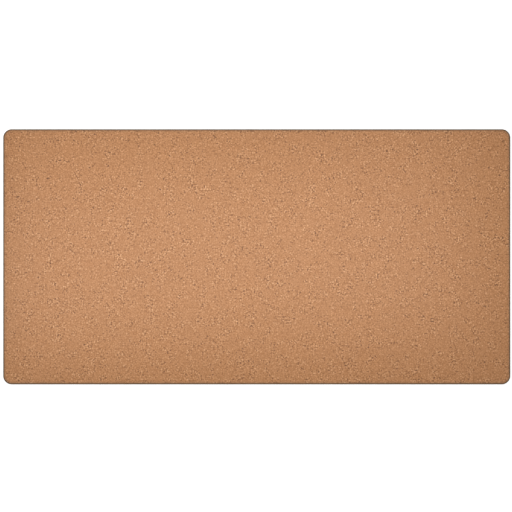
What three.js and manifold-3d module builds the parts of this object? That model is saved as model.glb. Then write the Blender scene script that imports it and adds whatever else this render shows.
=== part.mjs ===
// A laminated desk mat lying flat: a cork work face, bonded through a carrier cloth to a leatherette underside,
// with a bead of sealer round its cut edge.
// Millimetres, +Z up, +X along the mat's length. The origin is the centre of the underside.

import * as THREE from "three";
import { mergeVertices } from "three/addons/utils/BufferGeometryUtils.js";
import Module from "manifold-3d";

const wasm = await Module();
wasm.setup();

// Driving dimensions. Each thickness is a multiple of 1/8 mm, so the plies meet exactly in 32-bit numbers.
const MAT_LENGTH = 800;
const MAT_DEPTH = 402.5;
const CORNER_RADIUS = 13.5;
const CORNER_DIVISIONS = 8; // a corner gets twice this many straight pieces
const BEAD_WIDTH = 1.5; // from the finished edge in to the cut edge of the plies
const BEAD_ROUNDING = 1; // of its upper and lower outer edges
const BEAD_ROUNDING_STEPS = 5;

// The plies from the desk upwards. The last one is the work face.
const PLIES = [
  { name: "leatherette_skin", thickness: 0.25, material: leatheretteMaterial() },
  { name: "leatherette_base_cloth", thickness: 0.5, material: baseClothMaterial() },
  { name: "back_adhesive_film", thickness: 0.125, material: adhesiveMaterial() },
  { name: "carrier_cloth", thickness: 0.25, material: carrierClothMaterial() },
  { name: "face_adhesive_film", thickness: 0.125, material: adhesiveMaterial() },
  { name: "cork_face_sheet", thickness: 1.25, material: corkMaterial() },
];
const MAT_THICKNESS = PLIES.reduce((total, ply) => total + ply.thickness, 0);

function leatheretteMaterial() {
  return new THREE.MeshStandardMaterial({ color: 0x4f382a, roughness: 0.55, metalness: 0 });
}

function baseClothMaterial() {
  return new THREE.MeshStandardMaterial({ color: 0x8c7a68, roughness: 0.95, metalness: 0 });
}

function adhesiveMaterial() {
  return new THREE.MeshStandardMaterial({ color: 0xe6dfcf, roughness: 0.4, metalness: 0 });
}

function carrierClothMaterial() {
  return new THREE.MeshStandardMaterial({ color: 0xd8cdb8, roughness: 0.95, metalness: 0 });
}

function corkMaterial() {
  return new THREE.MeshStandardMaterial({ color: 0xc59169, roughness: 0.7, metalness: 0 });
}

function edgeSealerMaterial() {
  return new THREE.MeshStandardMaterial({ color: 0x554334, roughness: 0.5, metalness: 0 });
}

// The mat's rounded rectangle, moved in from the finished edge by inset.
function matOutline(inset) {
  const radius = CORNER_RADIUS - inset;
  const right = MAT_LENGTH / 2 - CORNER_RADIUS;
  const far = MAT_DEPTH / 2 - CORNER_RADIUS;
  const cornerCentres = [
    [right, -far],
    [right, far],
    [-right, far],
    [-right, -far],
  ];
  const outline = new THREE.Shape();
  cornerCentres.forEach(([x, y], corner) => {
    const start = (corner - 1) * (Math.PI / 2);
    outline.absarc(x, y, radius, start, start + Math.PI / 2, false);
  });
  outline.closePath();
  return outline;
}

// A closed three.js geometry as a manifold-3d solid.
function solidOf(geometry) {
  const bare = geometry.clone().deleteAttribute("normal").deleteAttribute("uv");
  const merged = mergeVertices(bare, 1e-4);
  return new wasm.Manifold(
    new wasm.Mesh({
      numProp: 3,
      vertProperties: merged.attributes.position.array,
      triVerts: new Uint32Array(merged.index.array),
    }),
  );
}

// A manifold-3d solid as a three.js geometry.
function geometryOf(solid) {
  const { vertProperties, triVerts } = solid.getMesh();
  const geometry = new THREE.BufferGeometry();
  geometry.setAttribute("position", new THREE.BufferAttribute(vertProperties, 3));
  geometry.setIndex(new THREE.BufferAttribute(triVerts, 1));
  geometry.computeVertexNormals();
  return geometry;
}

// A flat sheet with the outline of the cut plies.
function plySheet(thickness) {
  return new THREE.ExtrudeGeometry(matOutline(BEAD_WIDTH), {
    depth: thickness,
    bevelEnabled: false,
    curveSegments: CORNER_DIVISIONS,
  });
}

function plyMesh(ply, bottom) {
  const mesh = new THREE.Mesh(plySheet(ply.thickness), ply.material);
  mesh.name = ply.name;
  mesh.position.z = bottom;
  return mesh;
}

// The bead is a full slab with rounded edges, less the plies that it runs round.
function edgeBeadMesh() {
  const slab = new THREE.ExtrudeGeometry(matOutline(BEAD_ROUNDING), {
    depth: MAT_THICKNESS - 2 * BEAD_ROUNDING,
    bevelEnabled: true,
    bevelSize: BEAD_ROUNDING,
    bevelThickness: BEAD_ROUNDING,
    bevelSegments: BEAD_ROUNDING_STEPS,
    curveSegments: CORNER_DIVISIONS,
  });
  slab.translate(0, 0, BEAD_ROUNDING);
  const plies = plySheet(3 * MAT_THICKNESS).translate(0, 0, -MAT_THICKNESS);
  const bead = solidOf(slab).subtract(solidOf(plies));
  const mesh = new THREE.Mesh(geometryOf(bead), edgeSealerMaterial());
  mesh.name = "edge_bead";
  return mesh;
}

const mat = new THREE.Group();
let height = 0;
for (const ply of PLIES) {
  mat.add(plyMesh(ply, height));
  height += ply.thickness;
}
mat.add(edgeBeadMesh());

export default mat;
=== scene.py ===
# A cork desk mat seen square on from above: the plies of its laminate, and a bead of sealer round its edge.
# Metres, +Z up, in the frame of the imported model.

import math

import bpy
import numpy as np
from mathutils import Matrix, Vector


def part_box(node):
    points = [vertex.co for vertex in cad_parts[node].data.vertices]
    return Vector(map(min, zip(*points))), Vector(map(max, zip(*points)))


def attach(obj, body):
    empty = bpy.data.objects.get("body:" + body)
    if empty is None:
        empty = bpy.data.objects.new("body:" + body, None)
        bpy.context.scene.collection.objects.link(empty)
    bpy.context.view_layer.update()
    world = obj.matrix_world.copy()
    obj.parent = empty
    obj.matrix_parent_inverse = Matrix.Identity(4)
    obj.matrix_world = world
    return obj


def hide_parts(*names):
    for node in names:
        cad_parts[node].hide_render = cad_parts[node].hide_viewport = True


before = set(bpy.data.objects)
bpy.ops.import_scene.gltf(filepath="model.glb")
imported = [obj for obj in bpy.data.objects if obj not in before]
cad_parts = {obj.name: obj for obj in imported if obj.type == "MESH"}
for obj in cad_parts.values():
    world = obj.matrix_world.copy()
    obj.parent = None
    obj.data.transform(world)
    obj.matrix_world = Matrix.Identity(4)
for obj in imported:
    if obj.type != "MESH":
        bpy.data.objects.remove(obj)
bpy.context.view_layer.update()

MM = 0.001
CORNER_RADIUS = 13.5 * MM
ROUNDING = 1 * MM  # of the bead's outer edges
LIP_INSET = 1.95 * MM  # from the mat's finished edge in to where the sealer ends on the cork
FAR_LIP_SHIFT = 0.2 * MM  # how much less than that it is along the far side: painted light, so that side of the rim reads lighter as if lit
LIP_HEIGHT = 0.03 * MM  # of its upper side above the flat of the cork
LIP_DEPTH = 0.035 * MM  # of its lower side below that flat, where the cork is pressed down
BODY = "root"

bead_low, bead_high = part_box("edge_bead")
ply_low, ply_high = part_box("cork_face_sheet")
PLY_INSET = bead_high.x - ply_high.x  # from the mat's finished edge in to the cut edge of the plies
PLY_CLEARANCE = 0.005 * MM  # between one ply and the next, on each side


# Shapes -------------------------------------------------------------------------------------------


def smooth_noise(x, y, size, seed):
    """Noise of -1 to 1 at points (x, y), smooth over a lattice whose cells are size wide."""
    cells = 1024  # each way, before the lattice repeats
    lattice = np.random.default_rng(seed).uniform(-1, 1, (cells, cells))
    column, across = np.divmod(np.asarray(x) / size, 1)
    row, along = np.divmod(np.asarray(y) / size, 1)
    across = across * across * (3 - 2 * across)
    along = along * along * (3 - 2 * along)
    left, right = column.astype(int) % cells, (column.astype(int) + 1) % cells
    near, far = row.astype(int) % cells, (row.astype(int) + 1) % cells
    near_value = lattice[left, near] * (1 - across) + lattice[right, near] * across
    far_value = lattice[left, far] * (1 - across) + lattice[right, far] * across
    return near_value * (1 - along) + far_value * along


def fade(value, start, end):
    """0 up to start, 1 past end, and a smooth step between."""
    t = np.clip((value - start) / (end - start), 0, 1)
    return t * t * (3 - 2 * t)


def grid_lines(half, spacing, rim):
    """Places across a sheet from -half to half: rim gives those in from each edge, the rest are even."""
    inner = half - rim[-1]
    even = np.linspace(-inner, inner, round(2 * inner / spacing) + 1)
    outer = -half + np.array(rim[:-1])
    return np.concatenate([outer, even, -outer[::-1]])


def round_corners(x, y, half_x, half_y, radius):
    """Bends the corner squares of a rectangular grid into quarter circles. Also gives each point's distance
    in from the edge, which stops growing at radius."""
    beyond_x = np.maximum(np.abs(x) - (half_x - radius), 0)
    beyond_y = np.maximum(np.abs(y) - (half_y - radius), 0)
    reach = np.maximum(beyond_x, beyond_y)
    length = np.maximum(np.hypot(beyond_x, beyond_y), 1e-12)
    squeeze = np.where(reach > 0, reach / length, 1)
    bent_x = np.sign(x) * (np.abs(x) - beyond_x * (1 - squeeze))
    bent_y = np.sign(y) * (np.abs(y) - beyond_y * (1 - squeeze))
    return bent_x, bent_y, radius - reach


def coarse_cell(i0, i1, j0, j1, last_i, last_j):
    """The grid points round a large cell of the plain side, and every one that lies on the sheet's edge."""
    near = range(i0, i1) if j0 == 0 else [i0]
    right = range(j0, j1) if i1 == last_i else [j0]
    far = range(i1, i0, -1) if j1 == last_j else [i1]
    left = range(j1, j0, -1) if i0 == 0 else [j1]
    return [
        *((i, j0) for i in near),
        *((i1, j) for j in right),
        *((i, j1) for i in far),
        *((i0, j) for j in left),
    ]


def sheet_mesh(name, low, high, spacing, rim, relief, detail_up=True, coarse_step=12):
    """A closed sheet in the box from low to high, with rounded corners. Its detailed side is a fine grid
    that relief(x, y, inset) raises or lowers. Its plain side has a cell for every coarse_step lines."""
    half_x, half_y = high.x - PLY_CLEARANCE, high.y - PLY_CLEARANCE
    xs, ys = grid_lines(half_x, spacing, rim), grid_lines(half_y, spacing, rim)
    x, y = np.meshgrid(xs, ys, indexing="ij")
    radius = CORNER_RADIUS - (bead_high.x - half_x)
    x, y, inset = round_corners(x, y, half_x, half_y, radius)
    lower, upper = low.z + PLY_CLEARANCE, high.z - PLY_CLEARANCE
    detail = relief(x, y, inset)
    detail_z = upper + detail if detail_up else lower - detail
    plain_z = np.full_like(x, lower if detail_up else upper)
    columns, rows = x.shape
    points = np.concatenate([np.stack([x, y, z], -1).reshape(-1, 3) for z in (detail_z, plain_z)])
    index = np.arange(columns * rows).reshape(columns, rows)
    plain = index + columns * rows

    quads = np.stack([index[:-1, :-1], index[1:, :-1], index[1:, 1:], index[:-1, 1:]], -1).reshape(-1, 4)
    faces = quads.tolist()
    edge = coarse_cell(0, columns - 1, 0, rows - 1, columns - 1, rows - 1)
    for (i0, j0), (i1, j1) in zip(edge, edge[1:] + edge[:1]):
        faces.append([plain[i0, j0], plain[i1, j1], index[i1, j1], index[i0, j0]])
    columns_kept = sorted({0, columns - 1, *range(coarse_step, columns - coarse_step, coarse_step)})
    rows_kept = sorted({0, rows - 1, *range(coarse_step, rows - coarse_step, coarse_step)})
    for i0, i1 in zip(columns_kept, columns_kept[1:]):
        for j0, j1 in zip(rows_kept, rows_kept[1:]):
            cell = coarse_cell(i0, i1, j0, j1, columns - 1, rows - 1)
            faces.append([plain[i, j] for i, j in reversed(cell)])
    if not detail_up:
        faces = [face[::-1] for face in faces]
    return mesh_object(name, points, faces)


def mesh_object(name, points, faces):
    """A smooth-shaded object of the points that the faces use."""
    used = np.unique(np.concatenate([np.asarray(face) for face in faces]))
    renumbered = np.zeros(len(points), int)
    renumbered[used] = np.arange(len(used))
    mesh = bpy.data.meshes.new(name)
    mesh.from_pydata(points[used].tolist(), [], [renumbered[face].tolist() for face in faces])
    mesh.shade_smooth()
    mesh.set_sharp_from_angle(angle=math.radians(50))
    piece = bpy.data.objects.new(name, mesh)
    bpy.context.scene.collection.objects.link(piece)
    return piece


def edge_path(spacing, corner_steps):
    """Points round the mat's finished edge, anticlockwise, and the outward direction at each."""
    centre_x, centre_y = bead_high.x - CORNER_RADIUS, bead_high.y - CORNER_RADIUS
    corners = [(centre_x, -centre_y), (centre_x, centre_y), (-centre_x, centre_y), (-centre_x, -centre_y)]
    places, outward = [], []
    for corner, (x, y) in enumerate(corners):
        next_x, next_y = corners[(corner + 1) % 4]
        start = (corner - 1) * math.pi / 2
        for angle in np.linspace(start, start + math.pi / 2, corner_steps + 1):
            direction = np.array([math.cos(angle), math.sin(angle)])
            places.append(np.array([x, y]) + CORNER_RADIUS * direction)
            outward.append(direction)
        straight = math.hypot(next_x - x, next_y - y)
        steps = round(straight / spacing)
        for step in range(1, steps):
            share = step / steps
            centre = np.array([x + (next_x - x) * share, y + (next_y - y) * share])
            places.append(centre + CORNER_RADIUS * direction)
            outward.append(direction)
    return np.array(places), np.array(outward)


def bead_profile():
    """The bead's section as (distance in from the finished edge, height, how much it wanders with the lip).
    It runs from the foot of the inner wall out under the mat, up the edge and over onto the cork."""
    top = bead_high.z
    arc_points = 7
    section = [(PLY_INSET, 0.02 * MM, 0)]
    for angle in np.linspace(0, math.pi / 2, arc_points):
        section.append((ROUNDING * (1 - math.sin(angle)), ROUNDING * (1 - math.cos(angle)), 0))
    for angle in np.linspace(math.pi / 2, math.pi, arc_points):
        section.append((ROUNDING * (1 - math.sin(angle)), top - ROUNDING * (1 + math.cos(angle)), 0))
    section += [
        (PLY_INSET, top + LIP_HEIGHT, 0.3),
        (LIP_INSET - 0.1 * MM, top + 0.6 * LIP_HEIGHT, 1),
        (LIP_INSET, top - 0.6 * LIP_HEIGHT, 1),
        (LIP_INSET - 0.05 * MM, top - LIP_DEPTH, 1),
        (PLY_INSET, top - LIP_DEPTH, 0),
    ]
    return np.array(section)


def bead_mesh(name):
    """The sealer swept round the mat. Its line on the cork wanders, as hand-wiped sealer does, and along
    the far side it stops nearer the edge, painted light that leaves that side of the rim lighter.
    """
    places, outward = edge_path(spacing=2 * MM, corner_steps=24)
    section = bead_profile()
    wander = 0.16 * MM * smooth_noise(places[:, 0], places[:, 1], 9 * MM, seed=3)
    wander += 0.09 * MM * smooth_noise(places[:, 0], places[:, 1], 3.1 * MM, seed=4)
    # painted light: a narrower dark lip along the far side, so that side of the rim reads lighter, as if
    # lit
    wander -= FAR_LIP_SHIFT * np.maximum(outward[:, 1], 0)
    inset = section[None, :, 0] + wander[:, None] * section[None, :, 2]
    height = np.broadcast_to(section[None, :, 1], inset.shape)
    across = places[:, None, :] - outward[:, None, :] * inset[:, :, None]
    points = np.concatenate([across, height[:, :, None]], -1).reshape(-1, 3)
    rings, around = inset.shape
    index = np.arange(rings * around).reshape(rings, around)
    ahead, beside = np.roll(index, -1, 0), np.roll(index, -1, 1)
    both = np.roll(ahead, -1, 1)
    faces = np.stack([index, ahead, both, beside], -1).reshape(-1, 4).tolist()
    return mesh_object(name, points, faces)


# Materials ----------------------------------------------------------------------------------------


# The cork's grain: each size is in millimetres across.
GRANULE = 3.4
GRANULE_RANDOMNESS = 0.85
CRUMB = 1.2
FLECK = 2.4
CONTRAST_PATCH = 16
SHADE_PATCH = 40
MIDDLE_TONE = 0.375


class Shading:
    """A material's node tree, with short calls for its nodes. Places in it are in millimetres."""

    def __init__(self, name, roughness, specular=0.5):
        self.material = bpy.data.materials.new(name)
        self.material.use_nodes = True
        self.tree = self.material.node_tree
        self.shader = self.tree.nodes["Principled BSDF"]
        self.shader.inputs["Roughness"].default_value = roughness
        self.shader.inputs["Specular IOR Level"].default_value = specular
        coordinates = self.tree.nodes.new("ShaderNodeTexCoord")
        self.place = self.vector("SCALE", coordinates.outputs["Object"], scale=1 / MM)

    def node(self, kind, inputs, **settings):
        made = self.tree.nodes.new(kind)
        for setting, value in settings.items():
            setattr(made, setting, value)
        for socket, value in inputs.items():
            if isinstance(value, bpy.types.NodeSocket):
                self.tree.links.new(value, made.inputs[socket])
            else:
                made.inputs[socket].default_value = value
        return made

    def vector(self, operation, first, second=(0, 0, 0), scale=1):
        inputs = {0: first, "Scale": scale} if operation == "SCALE" else {0: first, 1: second}
        return self.node("ShaderNodeVectorMath", inputs, operation=operation).outputs["Vector"]

    def math(self, operation, first, second=0.0):
        return self.node("ShaderNodeMath", {0: first, 1: second}, operation=operation).outputs[0]

    def noise(self, place, size, detail=2.0, output="Fac"):
        """Noise whose lumps are about size millimetres across."""
        inputs = {"Vector": place, "Scale": 1 / size, "Detail": detail}
        return self.node("ShaderNodeTexNoise", inputs).outputs[output]

    def cells(self, place, size, randomness=1.0):
        """Random cells about size millimetres across: their Color and Position, and the Distance to one."""
        inputs = {"Vector": place, "Scale": 1 / size, "Randomness": randomness}
        return self.node("ShaderNodeTexVoronoi", inputs).outputs

    def seam_distance(self, place, size, randomness=1.0):
        """How far it is to the seam between two cells, as a share of size."""
        inputs = {"Vector": place, "Scale": 1 / size, "Randomness": randomness}
        return self.node("ShaderNodeTexVoronoi", inputs, feature="DISTANCE_TO_EDGE").outputs["Distance"]

    def warped(self, amount, size):
        """The place, moved about by up to amount millimetres."""
        wander = self.vector("SUBTRACT", self.noise(self.place, size, output="Color"), (0.5, 0.5, 0.5))
        return self.vector("ADD", self.place, self.vector("SCALE", wander, scale=2 * amount))

    def edge_distance(self):
        """Millimetres in from the mat's finished edge, as far as its corner radius."""
        corner = ((bead_high.x - CORNER_RADIUS) / MM, (bead_high.y - CORNER_RADIUS) / MM, 1000)
        beyond = self.vector("SUBTRACT", self.vector("ABSOLUTE", self.place), corner)
        beyond = self.vector("MAXIMUM", beyond, (0, 0, 0))
        reach = self.node("ShaderNodeVectorMath", {0: beyond}, operation="LENGTH").outputs["Value"]
        return self.math("SUBTRACT", CORNER_RADIUS / MM, reach)

    def channel(self, colour, which):
        """A colour's red, green or blue, which are 0, 1 and 2."""
        return self.node("ShaderNodeSeparateColor", {0: colour}).outputs[which]

    def ranged(self, value, from_low, from_high, to_low, to_high):
        """A smooth step from to_low, at from_low and below, to to_high, at from_high and above."""
        inputs = {"Value": value, 1: from_low, 2: from_high, 3: to_low, 4: to_high}
        return self.node("ShaderNodeMapRange", inputs, interpolation_type="SMOOTHSTEP").outputs[0]

    def ramp(self, value, stops):
        """Colours at positions of 0 to 1."""
        made = self.node("ShaderNodeValToRGB", {0: value})
        elements = made.color_ramp.elements
        while len(elements) < len(stops):
            elements.new(0.5)
        for element, (position, colour) in zip(elements, stops):
            element.position = position
            element.color = (*colour, 1)
        return made.outputs["Color"]

    def mix(self, factor, first, second):
        """The first colour where factor is 0, and the second where it is 1."""
        made = self.node("ShaderNodeMix", {0: factor}, data_type="RGBA")
        for socket, value in ((6, first), (7, second)):
            if isinstance(value, bpy.types.NodeSocket):
                self.tree.links.new(value, made.inputs[socket])
            else:
                made.inputs[socket].default_value = (*value, 1)
        return made.outputs[2]

    def bump(self, height, distance, strength=1.0):
        """A normal as if the surface stood distance metres higher where height is 1 than where it is 0."""
        inputs = {"Height": height, "Distance": distance, "Strength": strength}
        return self.node("ShaderNodeBump", inputs).outputs["Normal"]

    def finish(self, colour, roughness=None, normal=None):
        """Links what varies over the surface to the shader, and gives the material."""
        wanted = {"Base Color": colour, "Roughness": roughness, "Normal": normal}
        for socket, value in wanted.items():
            if value is not None:
                self.tree.links.new(value, self.shader.inputs[socket])
        return self.material


def cork_material():
    """Fine agglomerated cork: granules of many browns in a dark binder, sanded flat and sealed satin, each
    granule with painted shade, lighter in its middle and darker at its seams.
    Flecks of light and dark crumbs stand out more in some patches than in others."""
    shading = Shading("cork", roughness=0.45, specular=0.7)
    place = shading.warped(amount=0.3, size=1.1)
    granule = shading.cells(place, GRANULE, GRANULE_RANDOMNESS)
    crumb = shading.cells(place, CRUMB)
    fleck = shading.noise(crumb["Position"], FLECK, detail=0)
    contrast = shading.ranged(shading.noise(shading.place, CONTRAST_PATCH), 0.35, 0.65, 0.35, 1.12)
    dome = shading.ranged(shading.seam_distance(place, GRANULE, GRANULE_RANDOMNESS), 0, 0.3, 0, 1)
    crevice = shading.ranged(shading.seam_distance(place, CRUMB), 0, 0.1, 1, 0)
    tone = shading.math("MULTIPLY", shading.channel(granule["Color"], 0), 0.06)
    tone = shading.math("ADD", tone, shading.math("MULTIPLY", shading.channel(crumb["Color"], 0), 0.16))
    # painted shade: each granule's colour is lighter in its middle and darker towards its seams, as a domed
    # granule is shaded
    tone = shading.math("ADD", tone, shading.math("MULTIPLY", dome, 0.22))
    from_mean = shading.math("MULTIPLY", shading.math("SUBTRACT", fleck, 0.5), contrast)
    tone = shading.math("ADD", tone, shading.math("ADD", from_mean, MIDDLE_TONE))
    colour = shading.ramp(
        tone,
        [
            (0.24, (0.11, 0.032, 0.005)),
            (0.42, (0.41, 0.164, 0.045)),
            (0.6, (0.527, 0.233, 0.083)),
            (0.75, (0.6, 0.281, 0.112)),
            (0.9, (0.78, 0.427, 0.206)),
        ],
    )
    colour = shading.mix(shading.math("MULTIPLY", crevice, 0.3), colour, (0.2, 0.08, 0.026))
    patches = shading.ranged(shading.noise(shading.place, SHADE_PATCH), 0.32, 0.68, 0.0, 0.22)
    colour = shading.mix(patches, colour, (0.45, 0.198, 0.071))
    wander = shading.math("MULTIPLY", shading.noise(shading.place, 12), 3)
    from_edge = shading.math("ADD", shading.edge_distance(), wander)
    # darker towards the mat's edge: mixed towards dark brown from 7.5 mm in, with a wobbly inner line
    edge_darkening = shading.ranged(from_edge, 3, 7.5, 0.28, 0)
    colour = shading.mix(edge_darkening, colour, (0.12, 0.07, 0.04))
    pores = shading.noise(shading.place, 0.35, detail=3)
    height = shading.math("ADD", dome, shading.math("MULTIPLY", pores, 0.4))
    height = shading.math("SUBTRACT", height, shading.math("MULTIPLY", crevice, 0.6))
    normal = shading.bump(height, distance=0.05 * MM, strength=0.7)
    roughness = shading.ranged(tone, 0.1, 0.9, 0.55, 0.38)
    return shading.finish(colour, roughness, normal)


def sealer_material():
    """Dark flexible edge sealer, satin, with brush streaks and a few rubbed spots."""
    shading = Shading("edge_sealer", roughness=0.55, specular=0.25)
    streak = shading.noise(shading.place, 1.2, detail=4)
    broad = shading.noise(shading.place, 14)
    browns = [(0.3, (0.085, 0.047, 0.021)), (0.55, (0.135, 0.077, 0.036)), (0.75, (0.2, 0.12, 0.06))]
    colour = shading.ramp(streak, browns)
    rubbed = shading.ranged(broad, 0.58, 0.72, 0, 0.45)
    colour = shading.mix(rubbed, colour, (0.2, 0.125, 0.075))
    normal = shading.bump(streak, distance=0.04 * MM, strength=0.6)
    roughness = shading.ranged(broad, 0.3, 0.7, 0.48, 0.66)
    return shading.finish(colour, roughness, normal)


def leatherette_material():
    """Dark brown coated skin with a pebble grain, with painted shade in the creases between pebbles."""
    shading = Shading("leatherette", roughness=0.5)
    place = shading.warped(amount=0.35, size=1.4)
    pebble = shading.ranged(shading.seam_distance(place, 1.6), 0, 0.24, 0, 1)
    pores = shading.noise(shading.place, 0.3)
    mottle = shading.noise(shading.place, 18, detail=4)
    raised = shading.ramp(mottle, [(0.35, (0.066, 0.034, 0.02)), (0.65, (0.096, 0.05, 0.03))])
    # painted shade: the creases between pebbles are darker than the pebbles' tops
    colour = shading.mix(pebble, (0.054, 0.028, 0.016), raised)
    height = shading.math("ADD", pebble, shading.math("MULTIPLY", pores, 0.25))
    normal = shading.bump(height, distance=0.12 * MM, strength=0.8)
    roughness = shading.ranged(pebble, 0, 1, 0.7, 0.45)
    return shading.finish(colour, roughness, normal)


def weave_height(shading, thread):
    """Plain weave: 1 on top of a thread and 0 between threads, with each thread going over and under."""
    parts = shading.node("ShaderNodeSeparateXYZ", {0: shading.place}).outputs
    turns = [shading.math("MULTIPLY", parts[axis], math.pi / thread) for axis in (0, 1)]
    along, across = (shading.math("SINE", turn) for turn in turns)
    product = shading.math("MULTIPLY", along, across)
    return shading.ranged(product, -1, 1, 0, 1)


def base_cloth_material():
    """Grey-brown woven cloth that carries the leatherette's skin, with painted shade between its threads.
    """
    shading = Shading("base_cloth", roughness=0.9, specular=0.2)
    weave = weave_height(shading, thread=0.5)
    fuzz = shading.noise(shading.place, 0.4, detail=4)
    height = shading.math("ADD", weave, shading.math("MULTIPLY", fuzz, 0.5))
    greys = [(0.2, (0.13, 0.095, 0.065)), (0.7, (0.26, 0.195, 0.138)), (1, (0.35, 0.27, 0.2))]
    # partly painted shade: the colour follows the height, darker where it is low between threads and
    # lighter on top of them, and varied by the fuzz
    colour = shading.ramp(height, greys)
    return shading.finish(colour, normal=shading.bump(height, distance=0.12 * MM))


def carrier_cloth_material():
    """Cream non-woven cloth: fibres lying every way, with a grid of pressed points."""
    shading = Shading("carrier_cloth", roughness=0.95, specular=0.2)
    place = shading.warped(amount=2.5, size=4)
    lengthwise = shading.noise(shading.vector("MULTIPLY", place, (0.8, 6, 1)), 2, detail=3)
    crosswise = shading.noise(shading.vector("MULTIPLY", place, (6, 0.8, 1)), 2, detail=3)
    fibres = shading.math("MAXIMUM", crosswise, lengthwise)
    point = shading.cells(shading.place, 1.6)["Distance"]
    pressed = shading.ranged(point, 0.18, 0.3, 1, 0)
    creams = [(0.4, (0.48, 0.41, 0.31)), (0.6, (0.68, 0.6, 0.47)), (0.75, (0.8, 0.73, 0.6))]
    colour = shading.ramp(fibres, creams)
    colour = shading.mix(shading.math("MULTIPLY", pressed, 0.4), colour, (0.5, 0.43, 0.32))
    height = shading.math("SUBTRACT", fibres, shading.math("MULTIPLY", pressed, 0.5))
    return shading.finish(colour, normal=shading.bump(height, distance=0.15 * MM))


def adhesive_material():
    """Cream glue film with a faint orange peel."""
    shading = Shading("adhesive", roughness=0.35)
    peel = shading.noise(shading.place, 2.2, detail=2)
    mottle = shading.noise(shading.place, 25, detail=3)
    colour = shading.ramp(mottle, [(0.3, (0.7, 0.64, 0.52)), (0.7, (0.82, 0.77, 0.66))])
    normal = shading.bump(peel, distance=0.06 * MM, strength=0.6)
    roughness = shading.ranged(peel, 0.3, 0.7, 0.28, 0.45)
    return shading.finish(colour, roughness, normal)


# The plies, from the work face down ---------------------------------------------------------------


def cork_relief(x, y, inset):
    """Sanding leaves the face flat but for a slight unevenness, and cutting presses its rim down."""
    uneven = 0.03 * MM * smooth_noise(x, y, 3.9 * MM, seed=11)
    uneven = uneven + 0.02 * MM * smooth_noise(x, y, 9 * MM, seed=12)
    waves = 0.04 * MM * smooth_noise(x, y, 70 * MM, seed=13)
    press = 0.05 * MM * (1 - fade(inset, 0.6 * MM, 3 * MM))
    return (uneven + waves) * fade(inset, 0.6 * MM, 2.5 * MM) - press


def grain_relief(x, y, inset):
    """Hollows pressed into the leatherette. Nothing stands below its flat."""
    hollows = 0.5 + 0.5 * smooth_noise(x, y, 5 * MM, seed=21)
    return -0.04 * MM * hollows * fade(inset, 0, 2 * MM)


def cloth_relief(x, y, inset):
    """The slack of a thin cloth pressed between two others."""
    return -0.01 * MM * (1 + smooth_noise(x, y, 14 * MM, seed=31)) * fade(inset, 0, 3 * MM)


def finished(piece, node, material):
    """Gives a piece its material and its place in the frame."""
    piece.data.materials.append(material)
    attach(piece, BODY)
    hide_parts(node)
    return piece


# Where the first grid lines lie in from a ply's edge, and how far apart the rest are.
FINE_RIM = [0, 0.35 * MM, 0.8 * MM, 1.4 * MM, 2.2 * MM, 3.2 * MM]
PLAIN_RIM = [0, 2 * MM]
CORK_GRID = 1.95 * MM
SKIN_GRID = 2.6 * MM
CLOTH_GRID = 5 * MM
FILM_GRID = 8 * MM

cork = sheet_mesh("cork_face", *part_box("cork_face_sheet"), CORK_GRID, FINE_RIM, cork_relief)
finished(cork, "cork_face_sheet", cork_material())

face_film = sheet_mesh("face_film", *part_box("face_adhesive_film"), FILM_GRID, PLAIN_RIM, cloth_relief)
back_film = sheet_mesh("back_film", *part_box("back_adhesive_film"), FILM_GRID, PLAIN_RIM, cloth_relief)
glue = adhesive_material()
finished(face_film, "face_adhesive_film", glue)
finished(back_film, "back_adhesive_film", glue)

carrier = sheet_mesh("carrier_cloth_ply", *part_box("carrier_cloth"), CLOTH_GRID, PLAIN_RIM, cloth_relief)
finished(carrier, "carrier_cloth", carrier_cloth_material())

base_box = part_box("leatherette_base_cloth")
base_cloth = sheet_mesh("base_cloth_ply", *base_box, CLOTH_GRID, PLAIN_RIM, cloth_relief)
finished(base_cloth, "leatherette_base_cloth", base_cloth_material())

skin_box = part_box("leatherette_skin")
skin = sheet_mesh("leatherette_grain", *skin_box, SKIN_GRID, PLAIN_RIM, grain_relief, detail_up=False)
finished(skin, "leatherette_skin", leatherette_material())

bead = bead_mesh("sealed_edge")
finished(bead, "edge_bead", sealer_material())


# Floor, light and camera --------------------------------------------------------------------------

FRAME_WIDTH = 0.8074  # what the camera sees across the mat
VIEW_CENTRE = (-0.0012, 0.0013)  # the mat lies a little right of and below the middle of the view
LENS_MM = 85
SENSOR_MM = 36
FLOOR_GLOW = 0.56  # evens out the floor's white
WORLD_STRENGTH = 0.48


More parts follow.
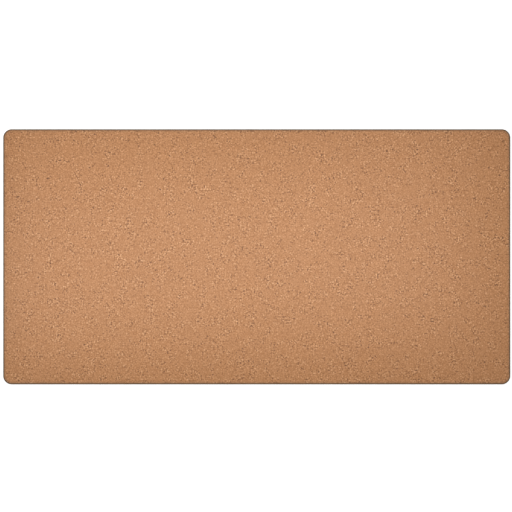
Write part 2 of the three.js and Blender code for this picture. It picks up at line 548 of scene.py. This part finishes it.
def make_cove():
    """A pale floor that curves up into a wall all round, far outside the view."""
    flat, bend, top = 3.0, 1.2, 1.6  # the flat's radius, the curve's radius and the wall's height
    sides = 96
    below = 0.05 * MM
    section = [(0.02, -below), (1.0, -below), (flat, -below)]
    for angle in np.linspace(0, math.pi / 2, 13)[1:]:
        section.append((flat + bend * math.sin(angle), bend * (1 - math.cos(angle)) - below))
    section.append((flat + bend, top))
    points = [(0, 0, -below)]
    for radius, height in section:
        for turn in np.linspace(0, 2 * math.pi, sides, endpoint=False):
            points.append((radius * math.cos(turn), radius * math.sin(turn), height))
    ring = 1 + np.arange(len(section) * sides).reshape(len(section), sides)
    ahead = np.roll(ring, -1, 1)
    faces = np.stack([ring[:-1], ring[1:], ahead[1:], ahead[:-1]], -1).reshape(-1, 4).tolist()
    faces += [[0, first, second] for first, second in zip(ring[0], ahead[0])]
    cove = mesh_object("floor", np.array(points), faces)
    shading = Shading("floor_white", roughness=0.9, specular=0.1)
    shading.shader.inputs["Emission Color"].default_value = (1, 1, 1, 1)
    shading.shader.inputs["Emission Strength"].default_value = FLOOR_GLOW
    mottle = shading.noise(shading.place, 300)
    colour = shading.ramp(mottle, [(0.3, (0.84, 0.84, 0.84)), (0.7, (0.86, 0.86, 0.855))])
    cove.data.materials.append(shading.finish(colour))


def make_soft_box(name, size, energy, place, turn, glossy=True):
    """A rectangular light that shines down, turned by degrees about X, Y and Z. The camera doesn't see it,
    and without glossy no surface mirrors it."""
    lamp = bpy.data.lights.new(name, "AREA")
    lamp.shape = "RECTANGLE"
    lamp.size, lamp.size_y = size
    lamp.energy = energy
    holder = bpy.data.objects.new(name, lamp)
    holder.location = place
    holder.rotation_euler = [math.radians(angle) for angle in turn]
    holder.visible_camera = False
    holder.visible_glossy = glossy
    bpy.context.scene.collection.objects.link(holder)


def make_lights():
    """A key over the mat, a little left of its middle, and a low fill panel of the mat's own size, which
    leaves the mat's rim a little darker than its middle."""
    make_soft_box(
        "key",
        size=(0.9, 0.34),
        energy=0.853,
        place=(-0.078, 0.018, 0.322),
        turn=(12, 0, 3),
    )
    make_soft_box(
        "fill",
        size=(0.8, 0.43),
        energy=0.275,
        place=(0.005, 0.02, 0.075),
        turn=(0, -4, 0),
        glossy=False,
    )


def make_camera():
    lens = bpy.data.cameras.new("camera")
    lens.lens = LENS_MM
    lens.sensor_width = SENSOR_MM
    camera = bpy.data.objects.new("camera", lens)
    camera.location = (*VIEW_CENTRE, bead_high.z + FRAME_WIDTH * LENS_MM / SENSOR_MM)
    bpy.context.scene.collection.objects.link(camera)
    bpy.context.scene.camera = camera


def make_world():
    world = bpy.data.worlds.new("studio")
    world.use_nodes = True
    background = world.node_tree.nodes["Background"]
    background.inputs["Color"].default_value = (1, 1, 1, 1)
    background.inputs["Strength"].default_value = WORLD_STRENGTH
    bpy.context.scene.world = world


make_cove()
make_lights()
make_camera()
make_world()
bpy.context.scene.view_settings.view_transform = "Standard"
